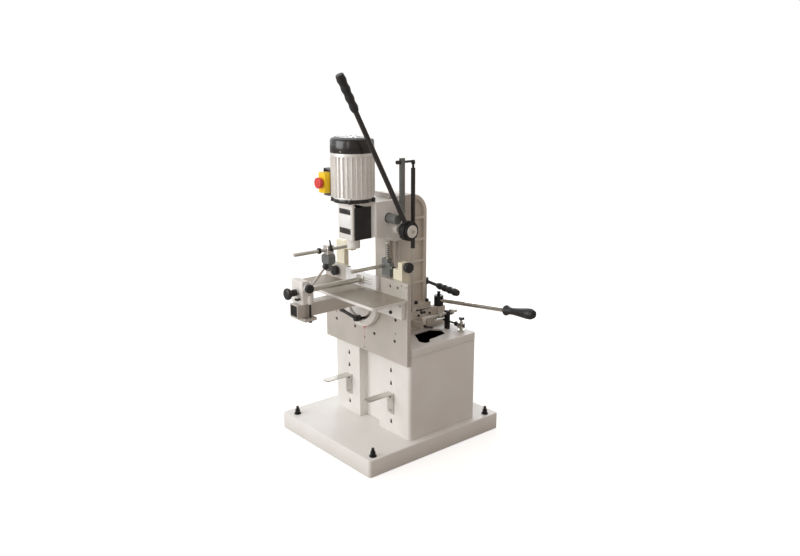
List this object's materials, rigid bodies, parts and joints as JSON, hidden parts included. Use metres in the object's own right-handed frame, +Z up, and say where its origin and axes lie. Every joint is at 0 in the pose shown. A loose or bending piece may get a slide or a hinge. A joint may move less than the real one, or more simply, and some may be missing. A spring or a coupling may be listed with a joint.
{
  "type": "hollow chisel mortiser",
  "caption": "Floor-standing hollow chisel mortiser: a head on a dovetail column with rack feed, a tilting table with vice and hold-downs, and a cabinet stand.",
  "frame": {"origin": "floor level in the plane of the chisel, near the middle of the plinth", "axes": "+X to the operator's right, +Y to the back, +Z up"},
  "size_m": [0.9388, 0.88, 1.5221],
  "materials": {
    "white_paint": "textured enamel",
    "jaw_white": "smooth enamel",
    "cream_paint": "smooth enamel",
    "grey_paint": "machined and painted",
    "ground_steel": "ground",
    "dark_steel": "blackened",
    "zinc": "zinc plated",
    "chrome": "polished",
    "motor_aluminium": "cast, satin",
    "black_plastic": "moulded",
    "black_enamel": "satin",
    "yellow_plastic": "moulded",
    "red_plastic": "moulded"
  },
  "bodies": {
    "stand": {"plinth": "white_paint", "anchor_bolts": "dark_steel", "cabinet": "white_paint", "cabinet_top": "white_paint", "fence_plate": "ground_steel", "angle_brackets": "zinc", "bed": "grey_paint", "y_rack": "ground_steel", "x_stop_post": "zinc", "x_stop_rod": "dark_steel", "y_stop_block": "dark_steel", "holddown_post": "zinc", "post_bracket": "dark_steel", "tilt_stud": "dark_steel", "left_support": "cream_paint", "left_rod": "zinc", "right_support": "cream_paint"},
    "table": {"tilt_table": "ground_steel", "vice_beam": "ground_steel"},
    "tilt_lever_body": {"tilt_lever": "black_plastic"},
    "vice_carrier": {"vice_block": "white_paint", "vice_plate": "zinc"},
    "vice_slider": {"vice_rod": "zinc", "vice_jaw": "jaw_white"},
    "vice_knob_body": {"vice_knob": "black_plastic"},
    "cam_lever_body": {"cam_lever": "black_plastic"},
    "left_foot_body": {"left_foot": "dark_steel"},
    "left_lock_body": {"left_lock": "black_plastic"},
    "star_knob_body": {"star_knob": "black_plastic"},
    "tee": {"tee_block": "dark_steel", "right_rod": "zinc", "holddown_spring": "black_enamel"},
    "tee_lock_body": {"tee_lock": "black_plastic"},
    "side_knob_body": {"side_knob": "black_plastic"},
    "saddle_body": {"saddle": "grey_paint", "x_rack": "ground_steel", "y_stop_rod": "zinc"},
    "y_lever_body": {"y_lever": "black_plastic"},
    "column_body": {"cross_slide": "grey_paint", "column": "grey_paint", "column_way": "ground_steel", "head_rack": "ground_steel", "column_bolts": "dark_steel", "gas_rod": "zinc"},
    "x_lever_body": {"x_lever": "chrome"},
    "head": {"head_casting": "white_paint", "gib": "ground_steel", "gas_bar": "zinc", "gas_cylinder": "black_enamel", "chisel_bushing": "white_paint", "motor_body": "motor_aluminium", "fan_cover": "black_plastic", "switch_box": "yellow_plastic"},
    "chuck_door_body": {"chuck_door": "black_plastic"},
    "stop_button_body": {"stop_button": "red_plastic"},
    "spindle_body": {"spindle": "zinc"},
    "pinion_body": {"pinion_shaft": "dark_steel"},
    "feed_lever": {"lever_hub": "black_plastic", "lever_rod": "black_plastic", "lever_grip": "black_plastic"}
  },
  "joints": [
    {"name": "saddle_slide", "type": "slide", "parent": "stand", "child": "saddle_body", "axis": [0, 1, 0], "range_m": [-0.01, 0.035]},
    {"name": "y_lever_turn", "type": "hinge", "parent": "saddle_body", "child": "y_lever_body", "pos_m": [0, 0.19, 0.5], "axis": [0, 0, 1], "range_deg": [-19.2, 67]},
    {"name": "cross_slide_travel", "type": "slide", "parent": "saddle_body", "child": "column_body", "axis": [1, 0, 0], "range_m": [-0.014, 0.012]},
    {"name": "x_lever_turn", "type": "hinge", "parent": "column_body", "child": "x_lever_body", "pos_m": [0.088, 0.19, 0.55], "axis": [0, 0, 1], "range_deg": [-23, 26.8]},
    {"name": "head_slide", "type": "slide", "parent": "column_body", "child": "head", "axis": [0, 0, 1], "range_m": [-0.095, 0]},
    {"name": "pinion_turn", "type": "hinge", "parent": "head", "child": "pinion_body", "pos_m": [0.06, -0.036, 0.912], "axis": [1, 0, 0], "range_deg": [0, 272.3]},
    {"name": "feed_lever_swing", "type": "hinge", "parent": "head", "child": "feed_lever", "pos_m": [0.152, -0.036, 0.912], "axis": [1, 0, 0], "range_deg": [-15, 58]},
    {"name": "table_tilt", "type": "hinge", "parent": "stand", "child": "table", "pos_m": [0, -0.145, 0.62], "axis": [0, -1, 0], "range_deg": [0, 20]},
    {"name": "tilt_lever_turn", "type": "hinge", "parent": "stand", "child": "tilt_lever_body", "pos_m": [0, -0.185, 0.543], "axis": [0, 1, 0], "range_deg": [-25, 10]},
    {"name": "vice_adjust", "type": "slide", "parent": "table", "child": "vice_carrier", "axis": [0, -1, 0], "range_m": [0, 0.012]},
    {"name": "vice_slide", "type": "slide", "parent": "vice_carrier", "child": "vice_slider", "axis": [0, -1, 0], "range_m": [0, 0.18]},
    {"name": "vice_knob_turn", "type": "hinge", "parent": "vice_slider", "child": "vice_knob_body", "pos_m": [0, -0.52, 0.706], "axis": [0, 1, 0], "continuous": true},
    {"name": "cam_lever_turn", "type": "hinge", "parent": "vice_carrier", "child": "cam_lever_body", "pos_m": [0.05, -0.447, 0.726], "axis": [1, 0, 0], "range_deg": [0, 90]},
    {"name": "left_foot_slide", "type": "slide", "parent": "stand", "child": "left_foot_body", "axis": [0, 1, 0], "range_m": [-0.02, 0.08]},
    {"name": "left_lock_turn", "type": "hinge", "parent": "left_foot_body", "child": "left_lock_body", "pos_m": [-0.1, -0.232, 0.821], "axis": [1, 0, 0], "range_deg": [-30, 60]},
    {"name": "star_knob_turn", "type": "hinge", "parent": "stand", "child": "star_knob_body", "pos_m": [-0.187, -0.15, 0.706], "axis": [0, 1, 0], "continuous": true},
    {"name": "tee_slide", "type": "slide", "parent": "stand", "child": "tee", "axis": [0, 0, 1], "range_m": [-0.03, 0], "deforming": ["holddown_spring"]},
    {"name": "tee_lock_turn", "type": "hinge", "parent": "tee", "child": "tee_lock_body", "pos_m": [0.15, -0.1146, 0.771], "axis": [1, 0, 0], "continuous": true},
    {"name": "side_knob_turn", "type": "hinge", "parent": "stand", "child": "side_knob_body", "pos_m": [0.22, -0.106, 0.788], "axis": [1, 0, 0], "continuous": true},
    {"name": "chuck_door_swing", "type": "hinge", "parent": "head", "child": "chuck_door_body", "pos_m": [0.0508, -0.225, 0.945], "axis": [0, 0, -1], "range_deg": [0, 80]},
    {"name": "stop_button_push", "type": "slide", "parent": "head", "child": "stop_button_body", "axis": [0, 1, 0], "range_m": [0, 0.004], "stiffness_N_per_m": 900, "springref_m": -0.001},
    {"name": "spindle_turn", "type": "hinge", "parent": "head", "child": "spindle_body", "pos_m": [0, -0.195, 1.1], "axis": [0, 0, 1], "continuous": true}
  ],
  "couplings": [
    {"joint": "y_lever_turn", "follows": "saddle_slide", "rad_per_m": 33.333},
    {"joint": "x_lever_turn", "follows": "cross_slide_travel", "rad_per_m": -33.333},
    {"joint": "pinion_turn", "follows": "head_slide", "rad_per_m": -50}
  ]
}
